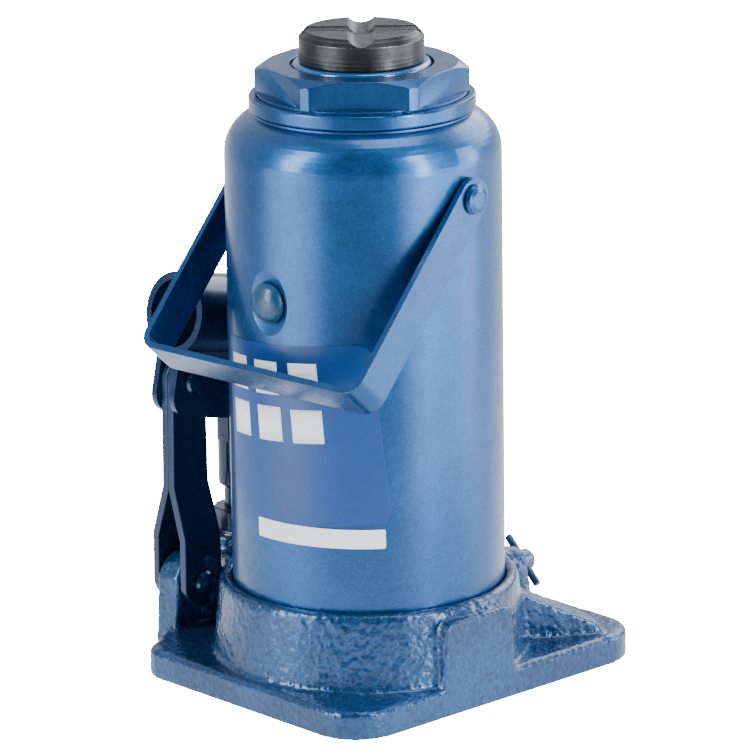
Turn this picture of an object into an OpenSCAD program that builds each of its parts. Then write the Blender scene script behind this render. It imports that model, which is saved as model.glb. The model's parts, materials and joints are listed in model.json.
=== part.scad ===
// Hydraulic bottle jack: cast base with side pump, steel oil reservoir, single-stage
// ram with an extension screw, folding carry bail and swinging handle socket.
// Millimetres, Z up, origin on the ram axis at the underside of the base.
// +Y is the operator side (handle mouth and release valve), -X is the pump side.

/* [Base plate] */
// thickness of the cast plate
plate_t = 10.5; // [8:0.5:16]
// distance from the ram axis to the flat +X face
plate_x_pos = 58.6; // [55:0.1:75]
// distance from the ram axis to the pump-side edge
plate_x_neg = 80; // [79:0.5:95]
// distance from the ram axis to the rear (valve side) edge
plate_y_pos = 85.5; // [80:0.5:100]
// distance from the ram axis to the front edge
plate_y_neg = 62.2; // [60:0.1:75]
// corner radius of the plate at the flat side
plate_corner_r = 17; // [8:0.5:20]
// bevel along the top edge of the plate
plate_bevel = 1.4; // [0.5:0.1:3]

/* [Collar] */
// outer radius of the collar rim
collar_r = 54.6; // [54:0.1:60]
// outer radius of the collar where it meets the plate
collar_foot_r = 57.4; // [56:0.1:64]
// height of the collar rim above the ground
collar_top = 38.6; // [35:0.1:45]
// height of the seat the reservoir shell stands on
shell_seat_z = 31; // [29:0.5:34]

/* [Machined pad] */
// half width of the pad at its top
pad_half_top = 16.5; // [10:0.5:20]
// half width of the pad at the ground
pad_half_foot = 18.6; // [12:0.1:24]
// height of the pad
pad_top = 34.6; // [30:0.1:40]

/* [Corner rib] */
// thickness of the rib that runs to the rear corner
rib_t = 11; // [6:0.5:14]
// direction of the rib about the ram axis in degrees
rib_angle = 58.4; // [50:0.1:66]

/* [Reservoir] */
// outer radius of the reservoir shell
shell_r = 50; // [50:0.1:52]
// wall thickness of the shell
shell_wall = 3; // [2:0.1:4]
// height where the straight wall ends
shell_straight_top = 197.5; // [190:0.5:205]
// radius of the rolled shoulder
shoulder_r = 15; // [12:0.5:16]
// radius of the neck ring above the shoulder
neck_r = 40.9; // [40:0.1:43]
// height of the neck ring
neck_h = 5; // [3:0.1:7]
// height of the oil filler hole
filler_z = 150; // [145:1:165]
// direction of the oil filler hole about the ram axis
filler_angle = -86.5; // [-95:0.5:-60]
// radius of the filler hole
filler_hole_r = 6; // [4:0.1:8]

/* [Top nut] */
// width across flats of the hexagon
nut_af = 68.5; // [66:0.5:72]
// height of the hexagon
nut_h = 10.6; // [9:0.1:13]
// radius the hexagon corners are turned down to
nut_turned_r = 38.6; // [38:0.1:40]

/* [Ram] */
// outer radius of the ram
ram_r = 25; // [24:0.1:26]
// height of the ram rim when it is down
ram_top = 230; // [230:0.5:234]
// bore radius of the pressure cylinder
cyl_bore_r = 29; // [28:0.1:30]
// outer radius of the pressure cylinder
cyl_r = 35; // [34:0.1:36]
// hydraulic travel of the ram
ram_travel = 150; // [100:5:150]

/* [Extension screw] */
// radius of the saddle head
saddle_r = 22.6; // [20:0.1:24]
// thickness of the saddle head
saddle_h = 11.5; // [9:0.1:14]
// crest radius of the screw thread
screw_r = 17; // [15:0.1:18]
// pitch of the screw thread
screw_pitch = 6; // [4:0.5:6]
// travel of the extension screw
screw_travel = 60; // [30:1:60]
// width of the cross grooves in the saddle
groove_w = 8; // [5:0.5:10]
// depth of the cross grooves in the saddle
groove_d = 2.4; // [1.5:0.1:4]

/* [Pump] */
// X position of the pump and lever plane
pump_x = -66; // [-68:0.1:-66]
// Y position of the pump axis
pump_y = -5.5; // [-8:0.1:-4]
// radius of the cast boss around the pump
pump_boss_r = 13; // [11.5:0.1:14]
// height of the cast boss around the pump
pump_boss_top = 42; // [40:0.5:46]
// radius of the plunger rod
plunger_r = 5; // [4:0.1:6]
// radius of the plunger head
plunger_head_r = 7; // [6.8:0.1:8]

/* [Lever] */
// Y position of the link and fulcrum pins
link_y = -31; // [-33:0.5:-29]
// height of the lower link pin
lug_pin_z = 28; // [26:0.5:31]
// height of the fulcrum pin
fulcrum_z = 105; // [100:0.5:108]
// thickness of each link plate
link_t = 3.2; // [2.5:0.1:3.2]
// thickness of the cast lug
lug_t = 11; // [8:0.5:11]
// downward tilt of the socket at rest in degrees
socket_tilt = 12; // [8:1:14]
// inner radius of the handle socket
socket_bore_r = 12.5; // [11:0.1:12.5]
// sheet thickness of the handle socket
socket_t = 2.8; // [2:0.1:2.8]
// length of the tube part of the handle socket
socket_len = 67; // [50:1:75]
// height of the tube axis above the fulcrum pin
socket_rise = 24.3; // [23:0.1:26]
// distance from the fulcrum pin to the plunger pin
plunger_arm = 25.5; // [24:0.1:27]
// radius of the three lever pins
pin_r = 3.5; // [3:0.1:4]

/* [Bail] */
// width of the bail strap
bail_w = 15; // [12:0.5:18]
// thickness of the bail strap
bail_t = 2.4; // [2:0.1:4]
// half distance between the bail arms, inside
bail_half = 51; // [51:0.1:54]
// length from pivot to crossbar middle
bail_len = 85; // [84:0.5:100]
// height of the bail pivots
bail_z = 187; // [180:0.5:192]
// turn of the bail axis about the ram axis in degrees
bail_turn = 4.5; // [0:1:12]
// angle of the resting bail from straight down in degrees
bail_rest = 42.5; // [42:0.5:50]

/* [Release valve] */
// X position of the valve axis
valve_x = -10; // [-20:0.5:0]
// height of the valve axis
valve_z = 20; // [18:0.5:22]
// radius of the valve screw head
valve_head_r = 4.2; // [3.5:0.1:5]
// length of the T-bar
tbar_len = 22.6; // [18:0.1:30]
// radius of the T-bar
tbar_r = 1.5; // [1.2:0.1:2]

/* [Fits] */
// radial clearance of sliding and turning fits
run_gap = 0.12; // [0.05:0.01:0.2]
// radial clearance of pressed and bonded fits
press_gap = 0.03; // [0.01:0.01:0.05]
// side clearance between lever parts
side_gap = 0.3; // [0.2:0.05:0.4]

/* [Hidden] */
$fn = 96;
cyl_floor_z = 25;
gasket_t = 1.5;
cyl_bottom_z = cyl_floor_z + gasket_t;
cyl_top_z = 216;
piston_bottom = 30;
piston_top = 58;
piston_r = cyl_bore_r - run_gap;
shell_bore_r = shell_r - shell_wall;
shell_top = shell_straight_top + shoulder_r;
shoulder_centre_r = shell_r - shoulder_r;
neck_z = shell_top + 0.8;
nut_z = neck_z + neck_h + 0.4;
nut_top = nut_z + nut_h;
nut_stop_z = piston_top + 150.6;
nut_turn = -14.6;
ram_neck_z = 217;
ram_neck_r = screw_r + run_gap;
ram_bore_r = screw_r + 1.6;
saddle_z = ram_top + 0.15;
saddle_top = saddle_z + saddle_h;
stop_ring_t = 3;
stop_ring_z = ram_neck_z - screw_travel - stop_ring_t - 0.5;
pin_hole_r = pin_r + run_gap;
fork_in = link_t + side_gap;
fork_out = fork_in + socket_t;
socket_out_r = socket_bore_r + socket_t;
socket_back = -9;
cheek_len = 46;
cheek_low = -13.5;
link_lug_in = lug_t / 2 + 0.5;
plunger_pin_y = link_y + plunger_arm * cos(socket_tilt);
plunger_pin_z = fulcrum_z - plunger_arm * sin(socket_tilt);
tongue_t = 2 * fork_in - 2 * side_gap;
tongue_drop = 19.6;
slot_shift = 0.71;
slot_half = 0.8;
pump_bore_z = 14;
gland_top = 51;
gland_z = pump_boss_top + 0.8;
rod_bottom = 19;
filler_r0 = shell_r - 1.4;
stud_r = 4.4;
mouth_y = 84.6;
tbar_y = 89.4;
valve_tip_y = 42;
sticker_mid = -76.4;
sticker_tilt = 4.8;
sticker_t = 0.2;

// ---- helpers -------------------------------------------------------------------------

function unit(v) = v / norm(v);

// centre of the corner arc that blends edge a-p into edge p-b
function corner_centre(a, p, b, r) =
    let (u = unit(a - p), v = unit(b - p), half = acos(u * v) / 2)
    p + unit(u + v) * r / sin(half);

// plain ring around Z
module ring(z0, z1, r_out, r_in) {
    translate([0, 0, z0])
        difference() {
            cylinder(r = r_out, h = z1 - z0);
            translate([0, 0, -1]) cylinder(r = r_in, h = z1 - z0 + 2);
        }
}

// round drilling between two points
module drilling(p, q, r) {
    d = q - p;
    translate(p)
        rotate([0, acos(d.z / norm(d)), atan2(d.y, d.x)])
            cylinder(r = r, h = norm(d), $fn = 48);
}

// round bar along X, centred on x = 0
module bar_x(r, len) {
    translate([-len / 2, 0, 0]) rotate([0, 90, 0]) cylinder(r = r, h = len);
}

// moves children into the lever frame: x across, y along the tube, z up from it
module lever_frame() {
    translate([pump_x, link_y, fulcrum_z]) rotate([-socket_tilt, 0, 0]) children();
}

// turns children to the bail axis, origin at the pivot height
module bail_frame() {
    rotate([0, 0, bail_turn]) translate([0, 0, bail_z]) children();
}

// places children on the radial axis of the filler hole, +X pointing outward
module filler_frame() {
    rotate([0, 0, filler_angle]) translate([0, 0, filler_z]) children();
}

// helical spring drawn as stacked closed coils
module coil_stack(z0, r, wire_r, coils, pitch) {
    for (i = [0 : coils - 1])
        translate([0, 0, z0 + wire_r + i * pitch])
            rotate_extrude($fn = 48)
                translate([r, 0]) circle(r = wire_r, $fn = 24);
}

// open snap ring around Z with its gap on +X
module snap_ring(z0, z1, r_out, r_in, gap) {
    difference() {
        ring(z0, z1, r_out, r_in);
        translate([0, -gap / 2, z0 - 1]) cube([r_out + 2, gap, z1 - z0 + 2]);
    }
}

// ---- base ----------------------------------------------------------------------------

// outline of the plate, every corner blended
module plate_outline() {
    c = [
        [plate_x_pos, -plate_y_neg], [plate_x_pos, plate_y_pos],
        [-plate_x_neg + 25, plate_y_pos], [-plate_x_neg, plate_y_pos - 34],
        [-plate_x_neg, -18], [-54, -plate_y_neg]
    ];
    r = [plate_corner_r, plate_corner_r + 1, 12, 12, 15, 10];
    n = len(c);
    hull()
        for (i = [0 : n - 1])
            translate(corner_centre(c[(i + n - 1) % n], c[i], c[(i + 1) % n], r[i]))
                circle(r = r[i], $fn = 64);
}

module plate() {
    hull() {
        linear_extrude(plate_t - plate_bevel) plate_outline();
        linear_extrude(plate_t) offset(delta = -plate_bevel) plate_outline();
    }
}

module collar() {
    foot_fillet = 1.1;
    rotate_extrude()
        polygon(concat(
            [[0, 1], [collar_foot_r + foot_fillet, 1], [collar_foot_r + foot_fillet, plate_t - 0.2]],
            [for (a = [270 : -15 : 195])
                [collar_foot_r + foot_fillet + foot_fillet * cos(a),
                 plate_t + foot_fillet + foot_fillet * sin(a)]],
            [[collar_r + 0.2, collar_top - 2], [collar_r - 0.4, collar_top - 0.6],
             [collar_r - 1.6, collar_top], [0, collar_top]]
        ));
}

module pad() {
    translate([44, 0, 0])
        rotate([90, 0, 90])
            linear_extrude(plate_x_pos - 44)
                hull() {
                    translate([-pad_half_foot, 0]) square([2 * pad_half_foot, 1]);
                    for (s = [-1, 1])
                        translate([s * (pad_half_top - 3.5), pad_top - 3.5]) circle(r = 3.5);
                }
}

module rear_rib() {
    rotate([0, 0, rib_angle])
        translate([0, -9.5 + rib_t, 0])
            rotate([90, 0, 0])
                linear_extrude(rib_t)
                    polygon([[44, 5], [44, 34], [84, 14.2], [87.4, 9.2], [87.4, 5]]);
}

module pump_boss() {
    linear_extrude(pump_boss_top)
        translate([pump_x, pump_y]) circle(r = pump_boss_r);
    linear_extrude(collar_top - 2.2)
        hull() {
            translate([pump_x + 2, pump_y]) circle(r = pump_boss_r - 1);
            translate([-44, -5]) circle(r = 20);
        }
}

module lug() {
    translate([pump_x - lug_t / 2, 0, 0])
        rotate([90, 0, 90])
            linear_extrude(lug_t)
                hull() {
                    translate([link_y, lug_pin_z]) circle(r = 10);
                    translate([link_y - 11.5, 0]) square([23, 6]);
                }
}

module valve_boss() {
    translate([valve_x, mouth_y, 0])
        rotate([90, 0, 0])
            linear_extrude(38)
                hull() {
                    translate([0, valve_z]) circle(r = 7);
                    translate([-9.2, 4]) square([18.4, 6]);
                }
}

module base_drillings() {
    feed = [pump_x, pump_y, 16];
    // pump chamber to delivery valve, delivery valve to the cylinder floor
    drilling(feed, [-44, pump_y, 16], 2);
    drilling([-44, pump_y, 13], [-6, pump_y, 13], 2);
    drilling([-6, pump_y, 11.5], [-6, pump_y, cyl_floor_z + 1], 2.5);
    // reservoir floor to suction valve
    drilling([-39.4, -15, shell_seat_z + 1], [-39.4, -15, 8.5], 2);
    drilling([-39.4, -15, 8.5], [pump_x, pump_y, 8.5], 2);
    // cylinder floor to release seat, release seat back to the reservoir
    drilling([valve_x, 22, cyl_floor_z + 1], [valve_x, 22, valve_z - 1.4], 2);
    drilling([valve_x, 22, valve_z], [valve_x, 40, valve_z], 2);
    drilling([valve_x, 43.2, valve_z], [valve_x, 41, shell_seat_z + 1], 1.8);
    // cylinder floor to relief seat, relief pocket back to the reservoir
    drilling([24, -12, cyl_floor_z + 1], [24, -12, 16], 2);
    drilling([24, -13, 17.6], [24, -30, 17.6], 1.5);
    drilling([26, -31, 12.5], [31, -31, shell_seat_z + 1], 1.3);
}

module base_casting() {
    color([0.10, 0.30, 0.55])
        difference() {
            union() {
                plate();
                collar();
                pad();
                rear_rib();
                pump_boss();
                lug();
                valve_boss();
            }
            // shell recess, annular floor and cylinder seat
            translate([0, 0, shell_seat_z]) cylinder(r = shell_r + 0.3, h = 20);
            translate([0, 0, cyl_floor_z]) cylinder(r = cyl_r + press_gap, h = 20);
            // pump barrel bore and the suction valve below it
            translate([pump_x, pump_y, pump_bore_z]) cylinder(r = 8.5 + press_gap, h = 40);
            translate([pump_x, pump_y, 6]) cylinder(r = 3.4, h = 9, $fn = 48);
            translate([pump_x, pump_y, -1]) cylinder(r = 6 + press_gap, h = 7.2);
            // delivery valve pocket
            translate([-44, pump_y, -1]) cylinder(r = 5 + press_gap, h = 7.2);
            translate([-44, pump_y, 5]) cylinder(r = 3.8, h = 12.5, $fn = 48);
            // relief valve pocket
            translate([24, -30, -1]) cylinder(r = 5 + press_gap, h = 7.2);
            translate([24, -30, 5]) cylinder(r = 3.4, h = 10, $fn = 48);
            translate([24, -30, 14]) cylinder(r = 1.9, h = 4.4, $fn = 48);
            // release valve bore and its wider mouth
            translate([valve_x, 100, valve_z])
                rotate([90, 0, 0]) cylinder(r = 3.4 + run_gap, h = 60.4, $fn = 64);
            translate([valve_x, 100, valve_z])
                rotate([90, 0, 0]) cylinder(r = 4.4, h = 20, $fn = 64);
            // lug pin hole
            translate([pump_x, link_y, lug_pin_z]) bar_x(pin_r + press_gap, 40);
            base_drillings();
        }
}

module shell_gasket() {
    color([0.12, 0.12, 0.12])
        ring(shell_seat_z + 0.02, shell_seat_z + 1, shell_r - 0.1, shell_bore_r + 0.1);
}

module pressure_cylinder() {
    color([0.62, 0.63, 0.65])
        difference() {
            ring(cyl_bottom_z + 0.02, cyl_top_z, cyl_r, cyl_bore_r);
            // lead-in chamfer at the top of the bore
            translate([0, 0, cyl_top_z - 1.2])
                cylinder(r1 = cyl_bore_r - 0.2, r2 = cyl_bore_r + 1.4, h = 1.6);
            // oil return slot at the upper end
            translate([cyl_r - 8, -2, cyl_top_z - 20]) cube([12, 4, 5]);
        }
}

module cylinder_gasket() {
    color([0.72, 0.45, 0.25])
        ring(cyl_floor_z + 0.02, cyl_bottom_z, cyl_r - 0.2, cyl_bore_r - 1);
}

// ---- reservoir -----------------------------------------------------------------------

module reservoir_shell() {
    color([0.22, 0.42, 0.64])
        difference() {
            rotate_extrude() shell_half();
            // filler hole and the shallow pressed seat around it
            filler_frame() rotate([0, 90, 0]) cylinder(r = filler_hole_r, h = shell_r + 5);
            filler_frame() translate([shell_r + 40 - 1.8, 0, 0]) sphere(r = 40, $fn = 180);
        }
}

module shell_half() {
    step = 7.5;
    inner_r = shoulder_r - shell_wall;
    polygon(concat(
        [[shell_r, shell_seat_z + 1.05], [shell_r, shell_straight_top]],
        [for (a = [step : step : 67.5])
            [shoulder_centre_r + shoulder_r * cos(a), shell_straight_top + shoulder_r * sin(a)]],
        [[39.9, shell_top - 0.7], [39.9, shell_top], [38.2, shell_top + 0.4]],
        [[38.2, shell_top - shell_wall + 0.6]],
        [for (a = [67.5 : -step : step])
            [shoulder_centre_r + inner_r * cos(a), shell_straight_top + inner_r * sin(a)]],
        [[shell_bore_r, shell_straight_top], [shell_bore_r, shell_seat_z + 1.05]]
    ));
}

module neck_ring() {
    color([0.10, 0.28, 0.50])
        rotate_extrude()
            polygon([
                [38.1, neck_z - 0.35], [neck_r - 0.5, neck_z - 0.35], [neck_r, neck_z + 0.3],
                [neck_r, neck_z + neck_h - 0.5], [neck_r - 0.5, neck_z + neck_h],
                [38.1, neck_z + neck_h]
            ]);
}

module bail_stud(side) {
    // welded pin with a peened outer head
    bail_frame()
        rotate([0, 0, side > 0 ? 0 : 180])
                rotate([0, 90, 0])
                    rotate_extrude($fn = 64)
                        polygon([
                            [0, shell_r - 2.6], [stud_r, shell_r - 2.6],
                            [stud_r, bail_half + bail_t + 0.35],
                            [stud_r + 1.1, bail_half + bail_t + 0.35],
                            [stud_r + 1.1, bail_half + bail_t + 0.9],
                            [stud_r + 0.3, bail_half + bail_t + 1.9],
                            [stud_r - 1.4, bail_half + bail_t + 2.4],
                            [0, bail_half + bail_t + 2.5]
                        ]);
}

module bail_stud_left() {
    color([0.10, 0.28, 0.50]) bail_stud(-1);
}

module bail_stud_right() {
    color([0.10, 0.28, 0.50]) bail_stud(1);
}

// thin panel that follows the shell, width and height measured on the tangent plane
module wrapped_panel(r_in, t, mid, z, half_angle, height, corner, tilt) {
    half_w = r_in * sin(half_angle);
    intersection() {
        ring(z - height, z + height, r_in + t, r_in);
        rotate([0, 0, mid])
            translate([0, 0, z])
                rotate([90, 0, 90])
                    linear_extrude(r_in + 10)
                        rotate([0, 0, tilt])
                            hull()
                                for (sx = [-1, 1], sy = [-1, 1])
                                    translate([sx * (half_w - corner), sy * (height / 2 - corner)])
                                        circle(r = corner, $fn = 32);
    }
}

module info_sticker() {
    color([0.16, 0.36, 0.60])
        wrapped_panel(shell_r + 0.05, sticker_t, sticker_mid, 102.4, 39.6, 66.5, 4, sticker_tilt);
}

module blank_strip() {
    color([0.85, 0.87, 0.90])
        wrapped_panel(shell_r + 0.09 + sticker_t, sticker_t, -64.8, 66.1, 29.2, 7.1, 0.6, 0);
}

module filler_plug() {
    // rubber plug: domed head, waisted stem
    color([0.05, 0.22, 0.24])
        filler_frame()
            rotate([0, 90, 0])
                rotate_extrude()
                    polygon(concat(
                        [[0, shell_bore_r - 3.4], [filler_hole_r - 1.4, shell_bore_r - 3.4],
                         [filler_hole_r - run_gap, shell_bore_r - 1.4],
                         [filler_hole_r - run_gap, shell_r - 0.9],
                         [7.2, shell_r - 0.7]],
                        [for (a = [0 : 10 : 80]) [7.4 * cos(a), shell_r + 0.2 + 3.6 * sin(a)]],
                        [[0, shell_r + 3.8]]
                    ));
}

// ---- top nut -------------------------------------------------------------------------

module top_nut() {
    flat_r = nut_af / 2;
    corner_drop = 2.3;
    skirt_r = 37.9;
    color([0.10, 0.28, 0.50])
        difference() {
            union() {
                intersection() {
                    translate([0, 0, nut_z])
                        rotate([0, 0, nut_turn])
                            cylinder(r = flat_r / cos(30), h = nut_h, $fn = 6);
                    rotate_extrude()
                        polygon([
                            [0, nut_z - 1], [nut_turned_r, nut_z - 1],
                            [nut_turned_r, nut_top - corner_drop],
                            [flat_r + 0.35, nut_top], [0, nut_top + 0.001]
                        ]);
                }
                translate([0, 0, cyl_top_z - 12]) cylinder(r = skirt_r, h = nut_z - cyl_top_z + 12.5);
            }
            // thread bore over the pressure cylinder
            translate([0, 0, cyl_top_z - 13]) cylinder(r = cyl_r + press_gap, h = 13.2);
            // guide bore, seal grooves and mouth
            translate([0, 0, cyl_top_z - 20]) cylinder(r = ram_r + run_gap, h = 60);
            ring(cyl_top_z + 3, cyl_top_z + 6.6, ram_r + 2.7, ram_r - 1);
            translate([0, 0, nut_top - 4]) cylinder(r = ram_r + 2.2, h = 2.6);
            translate([0, 0, nut_top - 1.5]) cylinder(r = ram_r + 1, h = 3);
        }
    // guide sleeve inside the cylinder, the piston stops against it
    color([0.10, 0.28, 0.50])
        ring(nut_stop_z, cyl_top_z + 1, cyl_bore_r - run_gap, ram_r + run_gap);
}

module nut_oring() {
    color([0.07, 0.07, 0.07])
        rotate_extrude() translate([ram_r + 1.42, cyl_top_z + 4.8]) circle(r = 1.3, $fn = 32);
}

module ram_wiper() {
    color([0.08, 0.08, 0.09])
        rotate_extrude()
            polygon([
                [ram_r + 2.15, nut_top - 3.95], [ram_r + 2.15, nut_top - 1.55],
                [ram_r + 0.9, nut_top - 1.55], [ram_r + 0.06, nut_top - 2.2],
                [ram_r + 0.06, nut_top - 2.6], [ram_r + 0.9, nut_top - 3.95]
            ]);
}

// ---- pump ----------------------------------------------------------------------------

module pump_body() {
    color([0.55, 0.56, 0.58])
        translate([pump_x, pump_y, 0])
            difference() {
                translate([0, 0, pump_bore_z + 1.2])
                    cylinder(r = 8.5, h = gland_z - pump_bore_z - 1.4);
                translate([0, 0, pump_bore_z - 1]) cylinder(r = plunger_r + run_gap, h = 60);
                translate([0, 0, pump_boss_top - 8]) cylinder(r = plunger_r + 2, h = 20);
            }
}

module pump_washer() {
    color([0.72, 0.45, 0.25])
        translate([pump_x, pump_y, 0]) ring(pump_bore_z + 0.02, pump_bore_z + 1.15, 8.4, 3.6);
}

module pump_packing() {
    color([0.78, 0.74, 0.60])
        translate([pump_x, pump_y, 0])
            ring(pump_boss_top - 7.9, pump_boss_top - 0.6, plunger_r + 1.95, plunger_r + 0.06);
}

module pump_gland_nut() {
    color([0.10, 0.24, 0.42])
        translate([pump_x, pump_y, 0])
            difference() {
                union() {
                    intersection() {
                        translate([0, 0, gland_z - 0.15])
                            cylinder(r = 9.9, h = gland_top - gland_z + 0.15, $fn = 6);
                        rotate_extrude()
                            polygon([
                                [0, gland_z - 1], [9.6, gland_z - 1], [9.6, gland_top - 1.1],
                                [8.5, gland_top], [0, gland_top]
                            ]);
                    }
                    translate([0, 0, pump_boss_top - 0.55]) cylinder(r = plunger_r + 1.95, h = 2);
                }
                translate([0, 0, pump_boss_top - 2]) cylinder(r = plunger_r + run_gap, h = 20);
            }
}

module suction_ball() {
    color([0.8, 0.8, 0.82]) translate([pump_x, pump_y, 9.7]) sphere(r = 3, $fn = 48);
}

module suction_plug() {
    color([0.60, 0.60, 0.58])
        translate([pump_x, pump_y, 0])
            difference() {
                translate([0, 0, 0.4]) cylinder(r = 6, h = 5.6);
                translate([0, 0, -1]) cylinder(r = 3, h = 4, $fn = 6);
            }
}

module suction_screen() {
    color([0.75, 0.66, 0.40])
        translate([-39.4, -15, shell_seat_z + 0.05])
            difference() {
                cylinder(r = 4, h = 6, $fn = 48);
                translate([0, 0, -1]) cylinder(r = 3, h = 6.4, $fn = 48);
                for (a = [0 : 60 : 120])
                    translate([0, 0, 2.8])
                        rotate([0, 90, a]) cylinder(r = 0.9, h = 12, center = true, $fn = 24);
            }
}

module delivery_ball() {
    color([0.8, 0.8, 0.82]) translate([-44, pump_y, 14.2]) sphere(r = 3.2, $fn = 48);
}

module delivery_spring() {
    color([0.62, 0.63, 0.66])
        translate([-44, pump_y, 0]) coil_stack(6.1, 2.6, 0.5, 5, 0.96);
}

module delivery_plug() {
    color([0.60, 0.60, 0.58])
        translate([-44, pump_y, 0])
            difference() {
                translate([0, 0, 0.4]) cylinder(r = 5, h = 5.6);
                translate([0, 0, -1]) cylinder(r = 2.6, h = 4, $fn = 6);
            }
}

module relief_ball() {
    color([0.8, 0.8, 0.82]) translate([24, -30, 12.2]) sphere(r = 2.8, $fn = 48);
}

module relief_spring() {
    color([0.62, 0.63, 0.66])
        translate([24, -30, 0]) coil_stack(6.1, 2.4, 0.45, 4, 0.86);
}

module relief_screw() {
    color([0.60, 0.60, 0.58])
        translate([24, -30, 0])
            difference() {
                translate([0, 0, 0.4]) cylinder(r = 5, h = 5.6);
                translate([-6, -0.7, -1]) cube([12, 1.4, 3]);
            }
}

module pump_plunger() {
    head_z = 58;
    shoulder_z = plunger_pin_z - tongue_drop;
    top_z = plunger_pin_z + 7;
    color([0.10, 0.16, 0.28])
        difference() {
            union() {
                translate([pump_x, pump_y, 0]) {
                    rotate_extrude()
                        polygon([
                            [0, rod_bottom], [plunger_r - 0.6, rod_bottom],
                            [plunger_r, rod_bottom + 0.6], [plunger_r, head_z],
                            [plunger_head_r, head_z + 2], [plunger_head_r, shoulder_z - 1],
                            [plunger_head_r - 1, shoulder_z], [0, shoulder_z]
                        ]);
                }
                translate([pump_x - tongue_t / 2, pump_y - plunger_head_r + 0.2, shoulder_z - 3])
                    cube([tongue_t, 2 * plunger_head_r - 0.4, top_z - shoulder_z + 3]);
            }
            // slotted eye for the plunger pin
            translate([pump_x, plunger_pin_y + slot_shift, plunger_pin_z])
                rotate([90, 0, 90])
                    linear_extrude(20, center = true)
                        hull() {
                            translate([-slot_half, 0]) circle(r = pin_r + 0.35, $fn = 64);
                            translate([slot_half, 0]) circle(r = pin_r + 0.35, $fn = 64);
                        }
            // seal groove near the lower end
            translate([pump_x, pump_y, 0])
                ring(rod_bottom + 3, rod_bottom + 5.4, plunger_r + 1, plunger_r - 1.5);
        }
}

module plunger_seal() {
    color([0.07, 0.07, 0.07])
        translate([pump_x, pump_y, 0])
            ring(rod_bottom + 3.05, rod_bottom + 5.35, plunger_r + 0.06, plunger_r - 1.45);
}

// ---- lever ---------------------------------------------------------------------------

module link_plate(side) {
    // flat upper half, outward jog, flat lower half around the lug
    jog_top = 65;
    jog_low = 46;
    out = link_lug_in;
    in = 0.05;
    half_up = 8;
    half_low = 9;
    translate([pump_x, link_y, 0])
        rotate([0, 0, side > 0 ? 0 : 180])
                difference() {
                    union() {
                        intersection() {
                            // side view profile across the full height
                            rotate([90, 0, 0])
                                linear_extrude(40, center = true)
                                    polygon([
                                        [out, 10], [out + link_t, 10], [out + link_t, jog_low],
                                        [in + link_t, jog_top], [in + link_t, 130],
                                        [in, 130], [in, jog_top - 1.2], [out, jog_low - 1.2]
                                    ]);
                            // front view outline
                            rotate([90, 0, 90])
                                linear_extrude(60, center = true)
                                    hull() {
                                        translate([0, fulcrum_z]) circle(r = half_up);
                                        translate([0, lug_pin_z]) circle(r = half_low);
                                    }
                        }
                    }
                    translate([0, 0, fulcrum_z]) bar_x(pin_hole_r, 60);
                    translate([0, 0, lug_pin_z]) bar_x(pin_hole_r, 60);
                }
}

module link_left() {
    color([0.08, 0.16, 0.30]) link_plate(-1);
}

module link_right() {
    color([0.08, 0.16, 0.30]) link_plate(1);
}

// headed pin along X: head on +X, groove for a clip near the other end
module headed_pin(half_in, half_out) {
    translate([-half_out - 3.2, 0, 0])
        rotate([0, 90, 0])
            rotate_extrude($fn = 64)
                polygon([
                    [0, 0], [pin_r - 0.5, 0], [pin_r, 0.5], [pin_r, 1.35], [pin_r - 0.6, 1.35],
                    [pin_r - 0.6, 2.6], [pin_r, 2.6], [pin_r, half_in + half_out + 3.4],
                    [pin_r + 1.2, half_in + half_out + 3.4],
                    [pin_r + 1.2, half_in + half_out + 4.4],
                    [pin_r + 0.4, half_in + half_out + 5.4], [0, half_in + half_out + 5.6]
                ]);
}

// clip that sits in the groove of a headed pin
module pin_clip(half_out) {
    translate([-half_out - 3.2, 0, 0])
        rotate([0, 90, 0])
            difference() {
                ring(1.5, 2.45, pin_r + 2.2, pin_r - 0.55);
                translate([-1.9, 0, 0]) cube([3.8, 12, 6]);
            }
}

module lug_pin() {
    color([0.35, 0.37, 0.40])
        translate([pump_x, link_y, lug_pin_z])
            headed_pin(link_lug_in + link_t, link_lug_in + link_t);
}

module lug_clip() {
    color([0.30, 0.30, 0.32])
        translate([pump_x, link_y, lug_pin_z]) pin_clip(link_lug_in + link_t);
}

module handle_socket() {
    color([0.06, 0.18, 0.36])
        lever_frame()
            difference() {
                union() {
                    translate([0, socket_back, socket_rise])
                        rotate([-90, 0, 0]) cylinder(r = socket_out_r, h = socket_len);
                    // cheeks with a rounded lower front corner
                    rotate([90, 0, 90])
                        linear_extrude(2 * fork_out, center = true)
                            hull() {
                                translate([socket_back + 8, cheek_low + 8]) circle(r = 8);
                                translate([socket_back, 10]) square([cheek_len, 4]);
                                translate([socket_back + cheek_len - 11, cheek_low + 11]) circle(r = 11);
                            }
                    // bends where the cheeks roll into the tube
                    translate([0, socket_back, 0])
                        rotate([90, 0, 180])
                            linear_extrude(cheek_len)
                                polygon([
                                    [-fork_out - 2.8, 11.8], [-fork_out, 7.6],
                                    [fork_out, 7.6], [fork_out + 2.8, 11.8]
                                ]);
                }
                // tube bore and the gap between the cheeks
                translate([0, socket_back - 1, socket_rise])
                    rotate([-90, 0, 0]) cylinder(r = socket_bore_r, h = socket_len + 2);
                translate([-fork_in, socket_back - 1, cheek_low - 1])
                    cube([2 * fork_in, socket_len + 2, socket_rise - cheek_low]);
                // pin holes
                bar_x(pin_r + press_gap, 60);
                translate([0, plunger_arm, 0]) bar_x(pin_r + press_gap, 60);
            }
}

module fulcrum_pin() {
    color([0.35, 0.37, 0.40]) lever_frame() headed_pin(fork_out, fork_out);
}

module fulcrum_clip() {
    color([0.30, 0.30, 0.32]) lever_frame() pin_clip(fork_out);
}

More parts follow.
